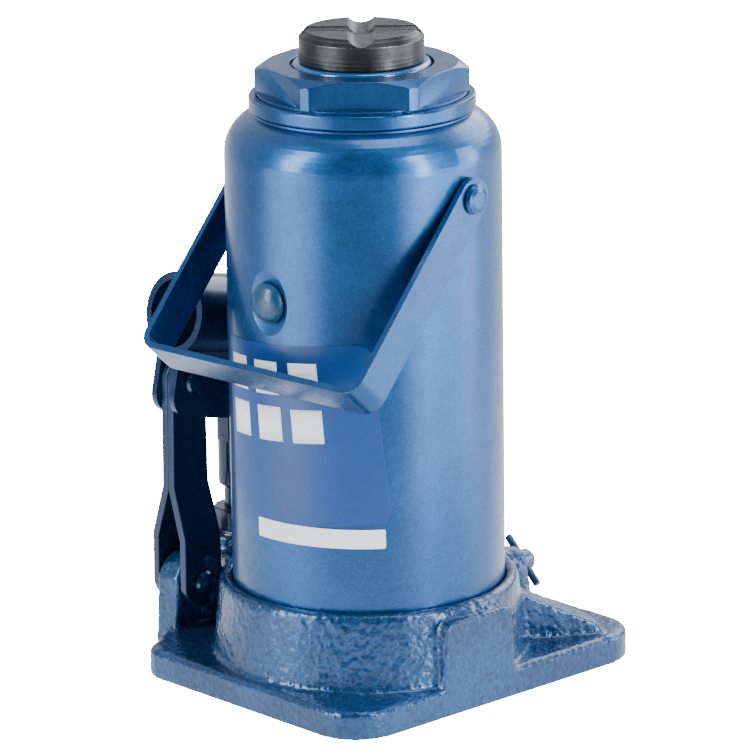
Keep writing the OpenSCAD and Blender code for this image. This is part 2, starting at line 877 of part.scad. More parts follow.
module plunger_pin() {
    color([0.35, 0.37, 0.40])
        lever_frame() translate([0, plunger_arm, 0]) headed_pin(fork_out, fork_out);
}

module plunger_clip() {
    color([0.30, 0.30, 0.32])
        lever_frame() translate([0, plunger_arm, 0]) pin_clip(fork_out);
}

// ---- ram and screw -------------------------------------------------------------------

module ram() {
    color([0.60, 0.62, 0.64])
        rotate_extrude()
            polygon([
                [0, piston_bottom + 9], [12, piston_bottom + 9], [12, piston_bottom],
                [ram_r - 5, piston_bottom], [ram_r - 5, piston_bottom + 9],
                [piston_r, piston_bottom + 9], [piston_r, piston_bottom + 18],
                [piston_r - 2, piston_bottom + 18], [piston_r - 2, piston_bottom + 24],
                [piston_r, piston_bottom + 24], [piston_r, piston_top],
                [ram_r, piston_top], [ram_r, ram_top - 1.6], [ram_r - 0.5, ram_top - 0.5],
                [ram_r - 1.6, ram_top], [ram_neck_r + 0.8, ram_top], [ram_neck_r, ram_top - 0.8],
                [ram_neck_r, ram_neck_z], [ram_bore_r, ram_neck_z],
                [ram_bore_r, piston_top + 8], [0, piston_top + 8]
            ]);
}

module piston_cup() {
    // lip seal clamped under the piston
    color([0.08, 0.08, 0.09])
        rotate_extrude()
            polygon([
                [ram_r - 4.95, piston_bottom + 3.6], [ram_r - 4.95, piston_bottom + 8.95],
                [cyl_bore_r - 0.06, piston_bottom + 8.95], [cyl_bore_r - 0.02, piston_bottom + 2.2],
                [cyl_bore_r - 1.6, piston_bottom + 2.2], [cyl_bore_r - 2.6, piston_bottom + 3.6]
            ]);
}

module piston_washer() {
    color([0.58, 0.58, 0.60])
        ring(piston_bottom + 1.95, piston_bottom + 3.55, ram_r - 1, ram_r - 4.95);
}

module piston_clip() {
    color([0.40, 0.40, 0.42])
        snap_ring(piston_bottom + 0.5, piston_bottom + 1.9, ram_r - 2.6, ram_r - 4.95, 4);
}

module piston_wear_ring() {
    color([0.70, 0.62, 0.40])
        difference() {
            ring(piston_bottom + 18.05, piston_bottom + 23.95, cyl_bore_r - 0.04, piston_r - 1.95);
            translate([0, -0.6, piston_bottom + 17]) cube([40, 1.2, 8]);
        }
}

module screw_stop_ring() {
    color([0.40, 0.40, 0.42])
        snap_ring(stop_ring_z, stop_ring_z + stop_ring_t, ram_bore_r - 0.2, screw_r - 2.8, 5);
}

// one thread valley per pitch, drawn as closed rings
module extension_screw() {
    depth = 1.7;
    ring_top = stop_ring_z + stop_ring_t + 0.1;
    first = ring_top + 5;
    count = floor((ram_top - 3 - first) / screw_pitch);
    core = screw_r - 3;
    chamfer_z = 2.7;
    color([0.16, 0.16, 0.17])
        difference() {
            rotate_extrude()
                polygon(concat(
                    [[0, stop_ring_z - 3], [core, stop_ring_z - 3],
                     [core, stop_ring_z - 0.1], [core, ring_top],
                     [screw_r - 0.8, ring_top], [screw_r, ring_top + 0.8]],
                    [for (i = [0 : count - 1], k = [0 : 3])
                        [k == 0 || k == 3 ? screw_r : screw_r - depth,
                         first + i * screw_pitch + [0, 1.6, 2.6, 4.2][k]]],
                    [[screw_r, saddle_z], [saddle_r - 0.5, saddle_z], [saddle_r, saddle_z + 0.5],
                     [saddle_r, saddle_top - chamfer_z], [saddle_r - 2.4, saddle_top],
                     [0, saddle_top]]
                ));
            // end washer groove keeps the stop ring captive
            ring(stop_ring_z - 0.1, ring_top, screw_r + 1, core + 0.001);
            for (a = [47.3, 137.3])
                rotate([0, 0, a])
                    translate([0, 0, saddle_top + 3.4])
                        rotate([0, 90, 0])
                            cylinder(r = groove_d + 3.4, h = 60, center = true, $fn = 64);
        }
}

// ---- release valve -------------------------------------------------------------------

module release_screw() {
    color([0.45, 0.46, 0.48])
        translate([valve_x, 0, valve_z])
            rotate([-90, 0, 0])
                difference() {
                    rotate_extrude($fn = 64)
                        polygon(concat(
                            [[0, valve_tip_y + 1.75], [1.6, valve_tip_y + 1.75],
                             [3.4, valve_tip_y + 3.4], [3.4, 68], [2.3, 68], [2.3, 70.6],
                             [3.4, 70.6], [3.4, mouth_y + 0.6],
                             [valve_head_r, mouth_y + 0.6], [valve_head_r, tbar_y + 1]],
                            [for (a = [20 : 20 : 80])
                                [valve_head_r * cos(a), tbar_y + 1 + 2.8 * sin(a)]],
                            [[0, tbar_y + 3.8]]
                        ));
                    translate([0, 0, tbar_y - 0.6])
                        rotate([90, 0, -45]) cylinder(r = tbar_r + press_gap, h = 30, center = true, $fn = 48);
                }
}

module release_tbar() {
    color([0.50, 0.51, 0.53])
        translate([valve_x, tbar_y - 0.6, valve_z])
            rotate([0, 45, 0])
                rotate([0, 90, 0])
                    translate([0, 0, -tbar_len / 2])
                        rotate_extrude($fn = 48)
                            polygon([
                                [0, 0], [tbar_r - 0.4, 0], [tbar_r, 0.4],
                                [tbar_r, tbar_len - 0.4], [tbar_r - 0.4, tbar_len], [0, tbar_len]
                            ]);
}

module release_oring() {
    color([0.07, 0.07, 0.07])
        translate([valve_x, 69.3, valve_z])
            rotate([90, 0, 0])
                rotate_extrude($fn = 64) translate([2.95, 0]) circle(r = 0.55, $fn = 24);
}

module release_ball() {
    color([0.8, 0.8, 0.82]) translate([valve_x, valve_tip_y - 0.85, valve_z]) sphere(r = 2.5, $fn = 48);
}

// ---- bail ----------------------------------------------------------------------------

module carry_bail() {
    bend_in = 4.6;
    bend_out = bend_in + bail_t;
    inner = bail_half;
    low = -bail_len - bail_t / 2;
    color([0.10, 0.26, 0.48])
        bail_frame()
            rotate([-bail_rest, 0, 0])
                union() {
                    for (s = [-1, 1]) {
                        // arm with a rounded eye
                        translate([s > 0 ? inner : -inner - bail_t, 0, 0])
                            rotate([90, 0, 90])
                                linear_extrude(bail_t)
                                    difference() {
                                        hull() {
                                            circle(r = bail_w / 2);
                                            translate([-bail_w / 2, low + bend_out - 0.05])
                                                square([bail_w, 1]);
                                        }
                                        circle(r = stud_r + 0.35);
                                    }
                        // bend into the crossbar
                        translate([s * (inner - bend_in), bail_w / 2, low + bend_out])
                            rotate([90, 0, 0])
                                linear_extrude(bail_w)
                                    intersection() {
                                        difference() {
                                            circle(r = bend_out);
                                            circle(r = bend_in);
                                        }
                                        translate([s > 0 ? -0.01 : -20.01 + 0.02, -20])
                                            square([20, 20]);
                                    }
                    }
                    translate([-inner + bend_in - 0.05, -bail_w / 2, low])
                        cube([2 * (inner - bend_in) + 0.1, bail_w, bail_t]);
                }
}

// ---- all pieces ----------------------------------------------------------------------

base_casting();
reservoir_shell();
shell_gasket();
neck_ring();
pressure_cylinder();
cylinder_gasket();
top_nut();
nut_oring();
ram_wiper();
pump_body();
pump_washer();
pump_packing();
pump_gland_nut();
suction_ball();
suction_plug();
suction_screen();
delivery_ball();
delivery_spring();
delivery_plug();
relief_ball();
relief_spring();
relief_screw();
release_ball();
bail_stud_left();
bail_stud_right();
info_sticker();
blank_strip();
lug_pin();
lug_clip();
ram();
piston_cup();
piston_washer();
piston_wear_ring();
piston_clip();
screw_stop_ring();
extension_screw();
link_left();
link_right();
handle_socket();
fulcrum_pin();
fulcrum_clip();
plunger_pin();
plunger_clip();
pump_plunger();
plunger_seal();
release_screw();
release_tbar();
release_oring();
carry_bail();
filler_plug();
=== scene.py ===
"""Looks of the hydraulic bottle jack: paint, casting skin, steel, label and studio."""

from __future__ import annotations

import json
import logging
import math
from dataclasses import dataclass, field
from enum import Enum

import bmesh
import bpy
from mathutils import Matrix, Vector, noise

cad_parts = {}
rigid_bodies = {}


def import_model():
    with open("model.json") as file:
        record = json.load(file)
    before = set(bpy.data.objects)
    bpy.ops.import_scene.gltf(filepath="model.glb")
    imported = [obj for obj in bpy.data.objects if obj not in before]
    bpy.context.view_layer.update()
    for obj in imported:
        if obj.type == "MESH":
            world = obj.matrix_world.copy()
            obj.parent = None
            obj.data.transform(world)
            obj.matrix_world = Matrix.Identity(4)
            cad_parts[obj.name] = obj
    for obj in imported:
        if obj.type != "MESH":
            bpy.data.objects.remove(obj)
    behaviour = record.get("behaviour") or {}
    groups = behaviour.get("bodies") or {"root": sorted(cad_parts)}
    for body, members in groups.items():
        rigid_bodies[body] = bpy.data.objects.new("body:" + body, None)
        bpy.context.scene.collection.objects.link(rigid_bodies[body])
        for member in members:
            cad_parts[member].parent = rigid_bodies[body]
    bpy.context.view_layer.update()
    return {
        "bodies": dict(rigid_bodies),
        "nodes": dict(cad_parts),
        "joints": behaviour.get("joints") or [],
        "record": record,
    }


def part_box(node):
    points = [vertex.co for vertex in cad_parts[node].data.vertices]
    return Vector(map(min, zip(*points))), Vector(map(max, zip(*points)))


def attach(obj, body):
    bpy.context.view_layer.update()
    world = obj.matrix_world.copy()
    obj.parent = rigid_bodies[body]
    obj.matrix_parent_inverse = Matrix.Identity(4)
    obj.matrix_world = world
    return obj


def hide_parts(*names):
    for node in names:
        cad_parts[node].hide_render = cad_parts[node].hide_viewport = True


log = logging.getLogger("bottle_jack")

Rgb = tuple[float, float, float]
MM = 0.001
SMOOTH_LIMIT = math.radians(28)
BEVEL_LIMIT = math.radians(34)
FLAT_LIMIT = math.radians(0.6)
WELD = 0.004 * MM
PRINT_THICKNESS = 0.05 * MM


class Skin(Enum):
    """Surface relief under a paint."""

    SMOOTH = 0.0
    ORANGE_PEEL = 0.35
    CAST = 1.0


class Graph:
    """Thin helper that adds nodes to one tree and links or sets their sockets."""

    def __init__(self, tree: bpy.types.NodeTree) -> None:
        """Keeps the tree that nodes are added to."""
        self.tree = tree

    def put(self, socket: bpy.types.NodeSocket, value: object) -> None:
        """Links a socket to another socket, or sets its plain value.

        Args:
            socket: the input to fill.
            value: an output socket, a number, a colour or a vector.
        """
        if isinstance(value, bpy.types.NodeSocket):
            self.tree.links.new(value, socket)
        elif isinstance(value, tuple) and len(value) == 3 and socket.type == "RGBA":
            socket.default_value = (*value, 1.0)
        else:
            socket.default_value = value

    def add(self, kind: str, inputs: dict | None = None, **settings: object) -> bpy.types.Node:
        """Adds one node.

        Args:
            kind: the node's type name without "ShaderNode".
            inputs: values or sockets by input name or index.
            settings: plain properties of the node.

        Returns:
            The new node.
        """
        node = self.tree.nodes.new("ShaderNode" + kind)
        for name, value in settings.items():
            setattr(node, name, value)
        for name, value in (inputs or {}).items():
            self.put(node.inputs[name], value)
        return node

    def math(self, operation: str, a: object, b: object = 0.0) -> bpy.types.NodeSocket:
        """Adds a Math node and returns its result socket."""
        return self.add("Math", {0: a, 1: b}, operation=operation).outputs[0]

    def reach(self, a: object, b: object) -> bpy.types.NodeSocket:
        """Returns the length of the vector with parts a and b."""
        squares = [self.math("POWER", part, 2.0) for part in (a, b)]
        return self.math("SQRT", self.math("ADD", *squares))

    def ramp(
        self, value: object, low: float, high: float, out_low: float = 0.0, out_high: float = 1.0
    ) -> bpy.types.NodeSocket:
        """Adds a smooth Map Range from low..high to out_low..out_high and returns its result."""
        node = self.add("MapRange", interpolation_type="SMOOTHSTEP")
        names = ("Value", "From Min", "From Max", "To Min", "To Max")
        for name, item in zip(names, (value, low, high, out_low, out_high)):
            self.put(node.inputs[name], item)
        return node.outputs["Result"]

    def around(self, mask: object, middle: float, less: float, more: float) -> bpy.types.NodeSocket:
        """Returns a value that runs from middle - less to middle + more with a mask."""
        return self.ramp(mask, 0.0, 1.0, middle - less, middle + more)

    def mix(self, mask: object, a: object, b: object) -> bpy.types.NodeSocket:
        """Mixes two colours by a mask and returns the colour socket."""
        node = self.add("Mix", data_type="RGBA")
        self.put(node.inputs[0], mask)
        self.put(node.inputs[6], a)
        self.put(node.inputs[7], b)
        return node.outputs[2]

    def noise(
        self, vector: object, scale: object, detail: float = 3.0, rough: float = 0.55
    ) -> bpy.types.NodeSocket:
        """Adds a Noise Texture and returns its factor socket."""
        values = {"Vector": vector, "Scale": scale, "Detail": detail, "Roughness": rough}
        return self.add("TexNoise", values).outputs["Fac"]

    def bump(self, height: object, strength: float, distance: float) -> bpy.types.NodeSocket:
        """Adds a Bump node and returns its normal."""
        return self.add(
            "Bump", {"Height": height, "Strength": strength, "Distance": distance}
        ).outputs[0]


class Effects:
    """Shared shader node groups, each built once."""

    @staticmethod
    def _group(
        name: str, inputs: dict[str, float], outputs: tuple[str, ...]
    ) -> tuple[bpy.types.NodeTree, Graph, dict, dict]:
        """Makes an empty group with float inputs, a Vector input and float outputs.

        Args:
            name: the group's name.
            inputs: default value by input name.
            outputs: output names.

        Returns:
            The tree, its graph helper, its input sockets and its output sockets.
        """
        tree = bpy.data.node_groups.new(name, "ShaderNodeTree")
        tree.interface.new_socket("Vector", in_out="INPUT", socket_type="NodeSocketVector")
        for key, value in inputs.items():
            entry = tree.interface.new_socket(key, in_out="INPUT", socket_type="NodeSocketFloat")
            entry.default_value = value
        for key in outputs:
            tree.interface.new_socket(key, in_out="OUTPUT", socket_type="NodeSocketFloat")
        g = Graph(tree)
        start = tree.nodes.new("NodeGroupInput")
        end = tree.nodes.new("NodeGroupOutput")
        return tree, g, start.outputs, end.inputs

    @classmethod
    def casting(cls) -> bpy.types.NodeTree:
        """Returns the group for lumpy sand-cast skin: Height, and a mask of painted shade in the
        low spots of the skin.
        """
        if "casting_skin" in bpy.data.node_groups:
            return bpy.data.node_groups["casting_skin"]
        tree, g, i, o = cls._group("casting_skin", {"Size": 420.0}, ("Height", "PitShade"))
        lumps = g.noise(i["Vector"], i["Size"], 2.5, 0.5)
        cell_size = g.math("MULTIPLY", i["Size"], 1.15)
        place = {"Vector": i["Vector"], "Scale": cell_size}
        cells = g.add("TexVoronoi", place, feature="SMOOTH_F1")
        dents = g.ramp(cells.outputs["Distance"], 0.05, 0.75)
        fine = g.noise(i["Vector"], g.math("MULTIPLY", i["Size"], 3.1), 3.0, 0.6)
        height = g.math("ADD", g.math("MULTIPLY", lumps, 0.7), g.math("MULTIPLY", dents, -0.45))
        g.put(o["Height"], g.math("ADD", height, g.math("MULTIPLY", fine, 0.18)))
        # painted shade: the mask is 1 where the lumps are low, to darken the pits
        g.put(o["PitShade"], g.ramp(lumps, 0.3, 0.55, 1.0, 0.0))
        return tree

    @classmethod
    def painted_flake_glint(cls) -> bpy.types.NodeTree:
        """Returns the group for metallic paint flake: a Glint mask of specks where a painted glint
        is mixed into the base colour.
        """
        if "flake_glint_group" in bpy.data.node_groups:
            return bpy.data.node_groups["flake_glint_group"]
        tree, g, i, o = cls._group("flake_glint_group", {"Size": 4200.0}, ("Glint",))
        cells = g.add("TexVoronoi", {"Vector": i["Vector"], "Scale": i["Size"]}, feature="F1")
        pick = g.add("SeparateColor", {0: cells.outputs["Color"]})
        g.put(o["Glint"], g.ramp(pick.outputs[0], 0.72, 1.0))
        return tree

    @classmethod
    def wear(cls) -> bpy.types.NodeTree:
        """Returns the group for broad fade and handling haze: Fade and Haze."""
        if "handling_wear" in bpy.data.node_groups:
            return bpy.data.node_groups["handling_wear"]
        tree, g, i, o = cls._group("handling_wear", {"Size": 30.0}, ("Fade", "Haze"))
        g.put(o["Fade"], g.ramp(g.noise(i["Vector"], i["Size"], 3.0), 0.3, 0.7))
        smears = g.noise(i["Vector"], g.math("MULTIPLY", i["Size"], 5.0), 5.0, 0.65)
        g.put(o["Haze"], g.ramp(smears, 0.35, 0.75))
        return tree

    @classmethod
    def turning(cls) -> bpy.types.NodeTree:
        """Returns the group for lathe marks round the Z axis: Height and Lines mask."""
        if "lathe_marks" in bpy.data.node_groups:
            return bpy.data.node_groups["lathe_marks"]
        tree, g, i, o = cls._group("lathe_marks", {"Rings": 1.0}, ("Height", "Lines"))
        xyz = g.add("SeparateXYZ", {0: i["Vector"]})
        radius = g.reach(xyz.outputs[0], xyz.outputs[1])
        place = g.add("CombineXYZ", {0: radius, 1: xyz.outputs[2], 2: 0.0})
        bands = g.noise(place.outputs[0], g.math("MULTIPLY", i["Rings"], 3200.0), 2.0, 0.7)
        g.put(o["Height"], bands)
        g.put(o["Lines"], g.ramp(bands, 0.45, 0.7))
        return tree

    @staticmethod
    def use(
        g: Graph, tree: bpy.types.NodeTree, vector: bpy.types.NodeSocket, **values: float
    ) -> bpy.types.Node:
        """Places a group in a material.

        Args:
            g: the material's graph.
            tree: the group.
            vector: coordinates for the group.
            values: its inputs.

        Returns:
            The group node.
        """
        node = g.add("Group", node_tree=tree)
        g.put(node.inputs["Vector"], vector)
        for key, value in values.items():
            node.inputs[key].default_value = value
        return node


def new_material(
    name: str,
) -> tuple[bpy.types.Material, Graph, bpy.types.Node, bpy.types.NodeSocket]:
    """Makes a material with an empty Principled shader.

    Args:
        name: the material's name.

    Returns:
        The material, its graph, its Principled node and object coordinates.
    """
    mat = bpy.data.materials.new(name)
    mat.use_nodes = True
    g = Graph(mat.node_tree)
    bsdf = next(n for n in mat.node_tree.nodes if n.type == "BSDF_PRINCIPLED")
    place = g.add("TexCoord").outputs["Object"]
    return mat, g, bsdf, place


@dataclass(frozen=True)
class Paint:
    """Blue enamel over metal."""

    name: str
    deep: Rgb
    light: Rgb
    skin: Skin = Skin.ORANGE_PEEL
    metallic: float = 0.55
    roughness: float = 0.3
    coat: float = 0.5
    # strength of the painted flake glint
    painted_flake_glint: float = 0.5
    grain: float = 420.0
    relief: float = 0.0004

    def build(self) -> bpy.types.Material:
        """Returns the paint's material."""
        mat, g, bsdf, place = new_material(self.name)
        painted_flake_glint = Effects.use(g, Effects.painted_flake_glint(), place)
        wear = Effects.use(g, Effects.wear(), place, Size=26.0)
        cast = Effects.use(g, Effects.casting(), place, Size=self.grain)
        base = g.mix(wear.outputs["Fade"], self.deep, self.light)
        # Painted glint: specks of a brighter blue stand in for light caught by the flakes.
        painted_glint = tuple(min(1.0, c * 2.4 + 0.03) for c in self.light)
        base = g.mix(g.math("MULTIPLY", painted_flake_glint.outputs["Glint"], self.painted_flake_glint), base, painted_glint)
        # Painted shade: the base colour is darkened in the low pits of the cast skin.
        pit_shade = g.math("MULTIPLY", cast.outputs["PitShade"], 0.55 * self.skin.value)
        base = g.mix(pit_shade, base, tuple(c * 0.45 for c in self.deep))
        g.put(bsdf.inputs["Base Color"], base)
        g.put(bsdf.inputs["Roughness"], g.around(wear.outputs["Haze"], self.roughness, 0.04, 0.08))
        bsdf.inputs["Metallic"].default_value = self.metallic
        bsdf.inputs["Coat Weight"].default_value = self.coat
        bsdf.inputs["Coat Roughness"].default_value = 0.16
        height = g.math("MULTIPLY", cast.outputs["Height"], self.skin.value)
        strength = 0.6 if self.skin is Skin.CAST else 0.12
        g.put(bsdf.inputs["Normal"], g.bump(height, strength, self.relief))
        return mat


@dataclass(frozen=True)
class Steel:
    """Bare or treated steel with lathe marks."""

    name: str
    colour: Rgb
    bright: Rgb
    metallic: float = 1.0
    roughness: float = 0.32
    marks: float = 0.5
    rings: float = 1.0

    def build(self) -> bpy.types.Material:
        """Returns the steel's material."""
        mat, g, bsdf, place = new_material(self.name)
        lathe = Effects.use(g, Effects.turning(), place, Rings=self.rings)
        wear = Effects.use(g, Effects.wear(), place, Size=60.0)
        patches = g.math("MULTIPLY", wear.outputs["Fade"], self.marks)
        mask = g.math("MULTIPLY", lathe.outputs["Lines"], patches)
        g.put(bsdf.inputs["Base Color"], g.mix(mask, self.colour, self.bright))
        g.put(bsdf.inputs["Roughness"], g.around(wear.outputs["Haze"], self.roughness, 0.06, 0.12))
        bsdf.inputs["Metallic"].default_value = self.metallic
        g.put(bsdf.inputs["Normal"], g.bump(lathe.outputs["Height"], 0.25, 0.1 * MM))
        return mat


@dataclass(frozen=True)
class Moulded:
    """Rubber, film, paper or plastic: no metal, a fine skin and a little haze."""

    name: str
    colour: Rgb
    haze: Rgb
    roughness: float = 0.5
    coat: float = 0.0
    grain: float = 900.0
    relief: float = 0.00008

    def build(self) -> bpy.types.Material:
        """Returns the material."""
        mat, g, bsdf, place = new_material(self.name)
        wear = Effects.use(g, Effects.wear(), place, Size=45.0)
        cast = Effects.use(g, Effects.casting(), place, Size=self.grain)
        g.put(bsdf.inputs["Base Color"], g.mix(wear.outputs["Haze"], self.colour, self.haze))
        g.put(bsdf.inputs["Roughness"], g.around(wear.outputs["Fade"], self.roughness, 0.05, 0.08))
        bsdf.inputs["Coat Weight"].default_value = self.coat
        g.put(bsdf.inputs["Normal"], g.bump(cast.outputs["Height"], 0.3, self.relief))
        return mat


@dataclass
class Finishes:
    """Every finish on the jack, by its record slot or by piece."""

    made: dict[str, bpy.types.Material] = field(default_factory=dict)
    table: dict[str, object] = field(default_factory=lambda: {
        "cast_blue": Paint(
            "cast_blue_enamel", (0.004, 0.040, 0.125), (0.010, 0.070, 0.21),
            Skin.CAST, 0.5, 0.26, 0.45, 0.2, 520.0, 0.0006,
        ),
        "shell_blue": Paint(
            "shell_blue_metallic", (0.003, 0.062, 0.21), (0.006, 0.080, 0.26),
            Skin.ORANGE_PEEL, 0.74, 0.36, 0.5, 0.32,
        ),
        "trim_blue": Paint(
            "trim_blue_metallic", (0.003, 0.058, 0.195), (0.006, 0.076, 0.24),
            Skin.ORANGE_PEEL, 0.72, 0.30, 0.35, 0.2,
        ),
        "lever_blue": Paint(
            "lever_blue_enamel", (0.001, 0.018, 0.06), (0.002, 0.028, 0.09),
            Skin.ORANGE_PEEL, 0.45, 0.27, 0.5, 0.15,
        ),
        "black_rubber": Moulded("black_rubber", (0.012, 0.012, 0.013), (0.022, 0.022, 0.024), 0.6),
        "teal_rubber": Moulded(
            "teal_rubber", (0.002, 0.045, 0.11), (0.004, 0.06, 0.14),
            0.3, 0.15, 700.0,
        ),
        "machined_steel": Steel(
            "machined_steel", (0.42, 0.43, 0.45), (0.62, 0.63, 0.65),
            roughness=0.28,
        ),
        "copper": Steel("soft_copper", (0.65, 0.33, 0.18), (0.80, 0.48, 0.30), roughness=0.35),
        "packing": Moulded("fibre_packing", (0.52, 0.44, 0.29), (0.62, 0.55, 0.40), 0.7),
        "ball_steel": Steel(
            "ball_steel", (0.60, 0.60, 0.62), (0.72, 0.72, 0.74),
            roughness=0.14, marks=0.1,
        ),
        "zinc_steel": Steel(
            "blue_passivated_steel", (0.10, 0.16, 0.26), (0.22, 0.30, 0.42),
            roughness=0.28,
        ),
        "sticker_blue": Moulded(
            "label_film", (0.003, 0.050, 0.21), (0.004, 0.055, 0.23),
            0.3, 0.0, 1500.0, 0.0,
        ),
        "sticker_white": Moulded(
            "blank_paper", (0.80, 0.84, 0.90), (0.86, 0.89, 0.94),
            0.45, 0.1, 1500.0, 0.00003,
        ),
        "pin_steel": Steel("pin_steel", (0.05, 0.10, 0.18), (0.20, 0.26, 0.34), roughness=0.3),
        "black_oxide": Steel(
            "black_oxide", (0.035, 0.036, 0.038), (0.13, 0.13, 0.135),
            0.8, 0.34, 0.9, 0.6,
        ),
        "worn_edge": Steel(
            "worn_edge", (0.16, 0.16, 0.165), (0.55, 0.55, 0.56),
            1.0, 0.3, 0.9, 0.3,
        ),
        "rim_blue": Paint(
            "rim_blue_gloss", (0.006, 0.10, 0.30), (0.012, 0.14, 0.36),
            Skin.ORANGE_PEEL, 0.5, 0.2, 0.8, 0.2,
        ),
    })

    def get(self, slot: str) -> bpy.types.Material:
        """Returns the material of a slot, building it on first use."""
        if slot not in self.made:
            self.made[slot] = self.table[slot].build()
        return self.made[slot]

    def dress_frame(self, frame: dict) -> None:
        """Gives every carried-over CAD node its finish.
        """
        slots = {s["node"]: s["material_slot"] for s in frame["record"]["subparts"]}
        for node, obj in frame["nodes"].items():
            obj.data.materials.clear()
            obj.data.materials.append(self.get(slots[node]))
            log.info("dressed %s as %s", node, slots[node])


def add_piece(
    name: str, mesh: bpy.types.Mesh, material: bpy.types.Material, body: str
) -> bpy.types.Object:
    """Links a mesh as a piece that rides on a body.

    Args:
        name: the piece's name.
        mesh: its mesh, in the row frame.
        material: its finish.
        body: the CAD body it moves with.

    Returns:
        The new object.
    """
    if not mesh.materials:
        mesh.materials.append(material)
    obj = bpy.data.objects.new(name, mesh)
    bpy.context.scene.collection.objects.link(obj)
    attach(obj, body)
    log.info("built %s on %s", name, body)
    return obj


def apply_modifiers(obj: bpy.types.Object) -> None:
    """Turns an object's modifiers into plain mesh."""
    graph = bpy.context.evaluated_depsgraph_get()
    graph.update()
    done = bpy.data.meshes.new_from_object(obj.evaluated_get(graph))
    old = obj.data
    obj.modifiers.clear()
    obj.data = done
    bpy.data.meshes.remove(old)


@dataclass
class SoftenedPart:
    """A CAD node redrawn with broken edges, as the real pressed or turned part has."""

    node: str
    body: str
    slot: str
    radius: float = 0.5 * MM
    segments: int = 3
    edge_slot: str = ""

    def build(self, frame: dict, finishes: Finishes) -> bpy.types.Object:
        """Builds the piece and lets it stand for its node.

        Args:
            finishes: the finish table.

        Returns:
            The new piece.
        """
        mesh = frame["nodes"][self.node].data.copy()
        mesh.materials.clear()
        mesh.materials.append(finishes.get(self.slot))
        if self.edge_slot:
            mesh.materials.append(finishes.get(self.edge_slot))
        bm = bmesh.new()
        bm.from_mesh(mesh)
        bmesh.ops.remove_doubles(bm, verts=bm.verts, dist=WELD)
        bmesh.ops.dissolve_limit(bm, angle_limit=FLAT_LIMIT, verts=bm.verts, edges=bm.edges)
        for face in bm.faces:
            face.smooth = True
            face.material_index = 0
        for edge in bm.edges:
            edge.smooth = edge.calc_face_angle(0.0) < SMOOTH_LIMIT
        bm.to_mesh(mesh)
        bm.free()
        obj = add_piece(self.node + "_skin", mesh, finishes.get(self.slot), self.body)
        bevel = obj.modifiers.new("broken_edges", "BEVEL")
        bevel.width = self.radius
        bevel.segments = self.segments
        bevel.limit_method = "ANGLE"
        bevel.angle_limit = BEVEL_LIMIT
        bevel.use_clamp_overlap = True
        bevel.harden_normals = True
        if self.edge_slot:
            bevel.material = 1
        apply_modifiers(obj)
        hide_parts(self.node)
        return obj


@dataclass
class CastBase:
    """The base casting: rounded edges and a lumpy skin, flat where it was machined."""

    voxel: float = 0.9 * MM
    lump: float = 0.32 * MM
    pad_face: float = 58.6 * MM
    seat_radius: float = 51.2 * MM

    def relief(self, point: Vector) -> float:
        """Returns how far the skin stands out at a point, in metres."""
        broad = noise.noise(point * 160.0)
        lumps = noise.noise(point * 430.0)
        fine = noise.noise(point * 900.0)
        return self.lump * (0.5 * broad + 0.75 * lumps + 0.3 * fine)

    def machined(self, point: Vector) -> float:
        """Returns 0 on machined faces and 1 on raw casting, with a short blend."""
        flat = min(1.0, max(0.0, point.z / (1.5 * MM)))
        pad = min(1.0, max(0.0, (self.pad_face - point.x) / (1.2 * MM)))
        seat = 1.0 if point.z < 30 * MM or point.xy.length > self.seat_radius else 0.0
        return flat * pad * seat

    def build(self, frame: dict, finishes: Finishes) -> bpy.types.Object:
        """Builds the casting and lets it stand for its node.

        Args:
            finishes: the finish table.

        Returns:
            The casting.
        """
        low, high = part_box("base_casting")
        mesh = frame["nodes"]["base_casting"].data.copy()
        mesh.materials.clear()
        mesh.materials.append(finishes.get("cast_blue"))
        obj = add_piece("base_casting_skin", mesh, finishes.get("cast_blue"), "base")
        remesh = obj.modifiers.new("even_skin", "REMESH")
        remesh.mode = "VOXEL"
        remesh.voxel_size = self.voxel
        soften = obj.modifiers.new("rounded", "SMOOTH")
        soften.iterations = 3
        soften.factor = 0.5
        apply_modifiers(obj)
        bm = bmesh.new()
        bm.from_mesh(obj.data)
        bm.normal_update()
        moves = [v.normal * self.relief(v.co) * self.machined(v.co) for v in bm.verts]
        for vert, move in zip(bm.verts, moves):
            spot = vert.co + move
            vert.co = Vector(min(high[k], max(low[k], spot[k])) for k in range(3))
        for face in bm.faces:
            face.smooth = True
            face.material_index = 0
        bm.to_mesh(obj.data)
        bm.free()
        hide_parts("base_casting")
        return obj


@dataclass
class Revolved:
    """A thin turned piece drawn as a profile spun round the ram axis."""

    name: str
    body: str
    slot: str
    profile: tuple[tuple[float, float], ...]
    steps: int = 128

    def build(self, finishes: Finishes) -> bpy.types.Object:
        """Builds the piece from its radius and height pairs in millimetres."""
        bm = bmesh.new()
        turns = [2 * math.pi * k / self.steps for k in range(self.steps)]
        rings = []
        for radius, height in self.profile:
            r, z = radius * MM, height * MM
            rings.append([bm.verts.new((r * math.cos(t), r * math.sin(t), z)) for t in turns])
        for low, high in zip(rings, rings[1:]):
            for k in range(self.steps):
                n = (k + 1) % self.steps
                bm.faces.new((low[k], low[n], high[n], high[k])).smooth = True
        bmesh.ops.recalc_face_normals(bm, faces=bm.faces)
        mesh = bpy.data.meshes.new(self.name)
        bm.to_mesh(mesh)
        bm.free()
        obj = add_piece(self.name, mesh, finishes.get(self.slot), self.body)
        return obj


